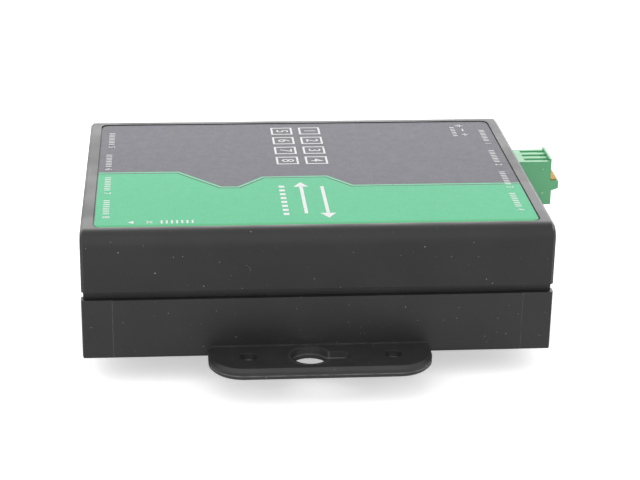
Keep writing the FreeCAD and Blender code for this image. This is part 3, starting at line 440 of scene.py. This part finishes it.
# where the green field of the label meets the dark one, from left to right
border = [on_cover(*place) for place in (
    (3.0, 44.4), (24.4, 44.3), (35.6, 32.1), (41.2, 31.9), (48.0, 39.4), (64.5, 39.6),
    (70.9, 32.0), (117.0, 32.0))]


def beside(line, distance):
    """The same line, moved sideways to its left by `distance`."""
    ways = [(end - start).normalized() for start, end in zip(line, line[1:])]
    moved = []
    for index, point in enumerate(line):
        before = ways[max(index - 1, 0)]
        after = ways[min(index, len(ways) - 1)]
        way = (before + after).normalized()
        out = Vector((-way.y, way.x))
        moved.append(point + out * distance / out.dot(Vector((-after.y, after.x))))
    return moved


def field_piece(name, line, high, finish):
    """A printed field from the front of the label back to `line`, with two round front corners."""
    shape = bmesh.new()
    ends = [Vector((film_low.x, line[0].y)), *line[1:-1], Vector((film_high.x, line[-1].y))]
    front = [Vector((film_high.x, film_low.y)), Vector((film_low.x, film_low.y))]
    points = [shape.verts.new((*point, film_high.z)) for point in ends + front]
    shape.faces.new(points)
    bmesh.ops.bevel(shape, geom=points[-2:], offset=FIELD_ROUND, offset_type="OFFSET", segments=6,
                    profile=0.5, affect="VERTICES", material=-1)
    raise_faces(shape, shape.faces[:], (0, 0, high))
    return new_piece(name, shape, finish)


# the three fields lie on each other: each higher one leaves a strip of the lower one to be seen
field_piece("label_line_field", beside(border, GAP_WIDE + LINE_WIDE), PRINT_HIGH * 0.5, line_print)
field_piece("label_gap_field", beside(border, GAP_WIDE), PRINT_HIGH * 0.75, gap_print)
field_piece("label_green_field", border, PRINT_HIGH, green_print)


class SignSheet:
    """White signs laid flat in one mesh, each drawn round the origin and then settled."""

    def __init__(self):
        self.shape = bmesh.new()

    def settle(self, verts, middle, turn):
        """Turns corners round the origin, then moves them to `middle`."""
        bmesh.ops.rotate(self.shape, verts=verts, matrix=Matrix.Rotation(turn, 3, "Z"))
        bmesh.ops.translate(self.shape, verts=verts, vec=(*middle, 0))

    def settle_new(self, before, middle, turn):
        """Settles all that was drawn since `before` was noted."""
        new = [vert for vert in self.shape.verts if vert not in before]
        self.settle(new, middle, turn)

    def bar(self, middle, along, across, turn=0.0):
        """A bar, `along` wide in X and `across` deep in Y before it is turned."""
        verts = bmesh.ops.create_grid(self.shape, x_segments=1, y_segments=1, size=0.5)["verts"]
        bmesh.ops.scale(self.shape, verts=verts, vec=(along, across, 1))
        self.settle(verts, middle, turn)

    def strokes(self, count, first, step, along, across):
        """A row of short strokes, where small words would stand."""
        for place in range(count):
            self.bar(first + step * place, along, across)

    def cross(self, middle, long, wide, turn=0.0):
        self.bar(middle, long, wide, turn)
        self.bar(middle, long, wide, turn + math.pi / 2)

    def arrowhead(self, middle, reach, turn):
        """A triangle that points along +X before it is turned."""
        self.settle(disc(self.shape, 3, reach), middle, turn - math.pi / 2)

    def ring(self, middle, outer, inner):
        before = set(self.shape.verts)
        face = disc(self.shape, 28, outer)[0].link_faces[0]
        bmesh.ops.inset_region(self.shape, faces=[face], thickness=outer - inner)
        bmesh.ops.delete(self.shape, geom=[face], context="FACES_ONLY")
        self.settle_new(before, middle, 0)

    def numeral(self, middle, text, high):
        """A plain number that reads from the back of the label to its front."""
        curve = bpy.data.curves.new("numeral", "FONT")
        curve.body = text
        curve.size = high * 1.4  # the font size that makes a numeral `high`
        curve.align_x = "CENTER"
        curve.align_y = "CENTER"
        holder = bpy.data.objects.new("numeral", curve)
        mesh = bpy.data.meshes.new_from_object(holder)
        before = set(self.shape.verts)
        self.shape.from_mesh(mesh)
        bpy.data.objects.remove(holder)
        bpy.data.curves.remove(curve)
        bpy.data.meshes.remove(mesh)
        self.settle_new(before, middle, -math.pi / 2)

    def cell(self, middle, size, text):
        """A square frame with a number in it."""
        stroke = size * 0.09
        edge = (size - stroke) / 2
        for side in (-1, 1):
            self.bar(middle + right(side * edge), stroke, size)
            self.bar(middle + back(side * edge), size - stroke * 2, stroke)
        self.numeral(middle, text, size * 0.56)

    def piece(self, name):
        """Gives the signs the print's thickness on the label."""
        lift = (0, 0, film_high.z + PRINT_HIGH)
        bmesh.ops.translate(self.shape, verts=self.shape.verts, vec=lift)
        raise_faces(self.shape, self.shape.faces[:], (0, 0, PRINT_HIGH))
        return new_piece(name, self.shape, white_print)


# by each port, its number and a row of strokes
RIGHT_PORTS = ((113.8, 72.2), (113.6, 53.9), (113.4, 35.9), (113.1, 19.0))
LEFT_PORTS = ((6.3, 73.0), (5.9, 54.2), (6.0, 35.5), (6.1, 17.9))
NUMERAL_AT = back(-6.0 * MM)
NUMERAL_HIGH = 1.9 * MM
STROKES_FROM = back(5.9 * MM)

port_marks = SignSheet()
for number, place in enumerate(RIGHT_PORTS + LEFT_PORTS, start=1):
    middle = on_cover(*place)
    port_marks.numeral(middle + NUMERAL_AT, str(number), NUMERAL_HIGH)
    port_marks.strokes(8, middle + STROKES_FROM, back(-1.35 * MM), 1.6 * MM, 0.5 * MM)
port_marks.piece("port_marks")

# a map of the eight ports
MAP_COLUMNS = ((63.3, 1), (55.2, 5))  # each column's place and its first port
MAP_ROWS = (79.4, 70.8, 62.2, 53.6)
MAP_CELL = 6.2 * MM

port_map = SignSheet()
for column, first in MAP_COLUMNS:
    for step, row in enumerate(MAP_ROWS):
        port_map.cell(on_cover(column, row), MAP_CELL, str(first + step))
port_map.piece("port_map")

# two arrows that pass each other, and a row of squares beside them
ARROW_COLUMNS = ((63.0, -1), (57.4, 1))  # each arrow's place, and 1 if it points to the back
ARROW_ROW = 22.5
ARROW_LONG = 20 * MM
ARROW_WIDE = 0.9 * MM
HEAD_REACH = 2.3 * MM
SQUARE_WIDE = 1.5 * MM

traffic_arrows = SignSheet()
for column, way in ARROW_COLUMNS:
    middle = on_cover(column, ARROW_ROW)
    tip = middle + back(way * (ARROW_LONG / 2 + 1.0 * MM))
    traffic_arrows.bar(middle, ARROW_WIDE, ARROW_LONG)
    traffic_arrows.arrowhead(tip, HEAD_REACH, way * math.pi / 2)
traffic_arrows.strokes(8, on_cover(52.2, 12.3), back(2.9 * MM), SQUARE_WIDE, SQUARE_WIDE)
traffic_arrows.piece("traffic_arrows")

# plus, minus and earth by the power plug, and a row of strokes
PLUS_PLACE = on_cover(108.4, 74.4)
MINUS_PLACE = on_cover(108.4, 78.6)
EARTH_PLACE = on_cover(107.4, 82.6)
SIGN_LONG = 1.9 * MM
SIGN_WIDE = 0.4 * MM
EARTH_BARS = (2.1 * MM, 1.4 * MM, 0.7 * MM)

power_marks = SignSheet()
power_marks.cross(PLUS_PLACE, SIGN_LONG, SIGN_WIDE)
power_marks.bar(MINUS_PLACE, SIGN_WIDE, SIGN_LONG)
power_marks.bar(EARTH_PLACE + right(1.3 * MM), 1.0 * MM, 0.35 * MM)
for step, wide in enumerate(EARTH_BARS):
    power_marks.bar(EARTH_PLACE + right((0.65 - step * 0.6) * MM), 0.3 * MM, wide)
power_marks.strokes(6, on_cover(105.5, 81.0), back(-1.5 * MM), 1.3 * MM, 0.55 * MM)
power_marks.piece("power_marks")

# by the power lamp, a pointer to it, a lamp sign and a row of strokes
LAMP_ROW = 8.0
LAMP_SIGN = on_cover(17.2, LAMP_ROW)

lamp_marks = SignSheet()
lamp_marks.arrowhead(on_cover(12.7, LAMP_ROW), 1.05 * MM, math.pi)
lamp_marks.ring(LAMP_SIGN, outer=1.3 * MM, inner=1.0 * MM)
lamp_marks.cross(LAMP_SIGN, 2.1 * MM, 0.28 * MM, math.pi / 4)
lamp_marks.strokes(7, on_cover(20.3, LAMP_ROW), right(1.3 * MM), 0.45 * MM, 2.1 * MM)
lamp_marks.piece("lamp_marks")


# ---- marks on the power plug ----
TRIANGLE_PLACE = (-5.0 * MM, 11.1 * MM)
DOT_PLACE = (-4.8 * MM, 3.7 * MM)
MARK_HIGH = 0.12 * MM


def moulded_marks():
    """A raised triangle and dot on the plug's front side, by its poles."""
    shape = bmesh.new()
    for place, sides, radius in ((TRIANGLE_PLACE, 3, 0.55 * MM), (DOT_PLACE, 16, 0.4 * MM)):
        bmesh.ops.translate(shape, verts=disc(shape, sides, radius), vec=(*place, 0))
    raise_faces(shape, shape.faces[:], (0, 0, MARK_HIGH))
    bmesh.ops.rotate(shape, verts=shape.verts, matrix=Matrix.Rotation(math.pi / 2, 3, "X"))
    bmesh.ops.translate(shape, verts=shape.verts, vec=(plug_high.x, plug_low.y, plug_low.z))
    pale = moulded("rubbed_green", rgb(0.26, 0.60, 0.35), rgb(0.32, 0.66, 0.41), 0.5, dust=0)
    return new_piece("plug_marks", shape, pale, "plug")


moulded_marks()


# ---- the rail clip's spring ----
def giving_spring():
    """The steel loop between the clip's stud and the latch, as a piece with its own mesh."""
    shape = bmesh.new()
    shape.from_mesh(frame["nodes"]["latch_spring"].data)
    bmesh.ops.remove_doubles(shape, verts=shape.verts, dist=0.001 * MM)
    loop = new_piece("spring_loop", shape, finishes["spring_steel"])
    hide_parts("latch_spring")
    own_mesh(loop)


giving_spring()


# ---- camera, light and floor ----
CAMERA_PLACE = Vector((-0.0377, -0.4582, 0.2003))
CAMERA_TURN, CAMERA_DIP, CAMERA_ROLL = (math.radians(angle) for angle in (5.20, 21.834, 0.98))

camera_data = bpy.data.cameras.new("camera")
camera_data.lens = 100.0
camera_data.sensor_width = 36.0
camera_data.clip_start = 0.01
camera = scene_object("camera", camera_data)
camera.matrix_world = (Matrix.Translation(CAMERA_PLACE) @ Matrix.Rotation(-CAMERA_TURN, 4, "Z")
                       @ Matrix.Rotation(math.pi / 2 - CAMERA_DIP, 4, "X")
                       @ Matrix.Rotation(CAMERA_ROLL, 4, "Z"))
bpy.context.scene.camera = camera
bpy.context.scene.view_settings.view_transform = "Standard"


def soft_lamp(name, place, wide, high, power):
    """A large soft lamp that faces the switch."""
    data = bpy.data.lights.new(name, "AREA")
    data.shape = "RECTANGLE"
    data.size = wide
    data.size_y = high
    data.energy = power
    lamp = scene_object(name, data)
    lamp.location = place
    lamp.rotation_euler = (-Vector(place)).to_track_quat("-Z", "Y").to_euler()
    lamp.visible_camera = False


soft_lamp("back_softbox", place=(0.0, 1.25, 0.55), wide=2.0, high=1.0, power=14.5)
soft_lamp("top_softbox", place=(-0.3, -0.2, 1.3), wide=1.2, high=1.2, power=0.6)
soft_lamp("front_softbox", place=(-0.5, -1.0, 0.95), wide=2.6, high=2.0, power=7.0)

SKY_SEEN = 1.0  # the sky's strength where it is seen, straight, mirrored or through a lens
SKY_LIGHT = 0.85  # its strength as light on the switch

world = bpy.data.worlds.new("studio")
bpy.context.scene.world = world
world.use_nodes = True
sky = world.node_tree
rays = sky.nodes.new("ShaderNodeLightPath").outputs
seen = rays["Is Camera Ray"]
for name in ("Is Glossy Ray", "Is Transmission Ray"):
    either = sky.nodes.new("ShaderNodeMath")
    either.operation = "MAXIMUM"
    sky.links.new(seen, either.inputs[0])
    sky.links.new(rays[name], either.inputs[1])
    seen = either.outputs[0]
strength = sky.nodes.new("ShaderNodeMapRange")
strength.inputs["To Min"].default_value = SKY_LIGHT
strength.inputs["To Max"].default_value = SKY_SEEN
sky.links.new(seen, strength.inputs["Value"])
background = sky.nodes["Background"]
background.inputs["Color"].default_value = grey(1)
sky.links.new(strength.outputs[0], background.inputs["Strength"])

FLOOR_GLOW = 0.5
FLOOR_HALF = 3.0
FLOOR_GAP = 0.05 * MM

floor_shape = bmesh.new()
bmesh.ops.create_grid(floor_shape, x_segments=1, y_segments=1, size=FLOOR_HALF)
bmesh.ops.translate(floor_shape, verts=floor_shape.verts, vec=(0, 0, source_box[0][2] - FLOOR_GAP))
floor = mesh_object("floor", floor_shape)
paper = Finish("floor_paper", roughness=0.9, specular_ior_level=0.1)
paper.shader.inputs["Emission Color"].default_value = grey(1)
watched = paper.add("ShaderNodeLightPath", {}).outputs["Is Camera Ray"]
floor.data.materials.append(paper.done(
    base_color=paper.mix(paper.patches(60 * MM, 2, 0.3, 0.7), grey(0.93), grey(0.95)),
    emission_strength=paper.times(watched, FLOOR_GLOW)))
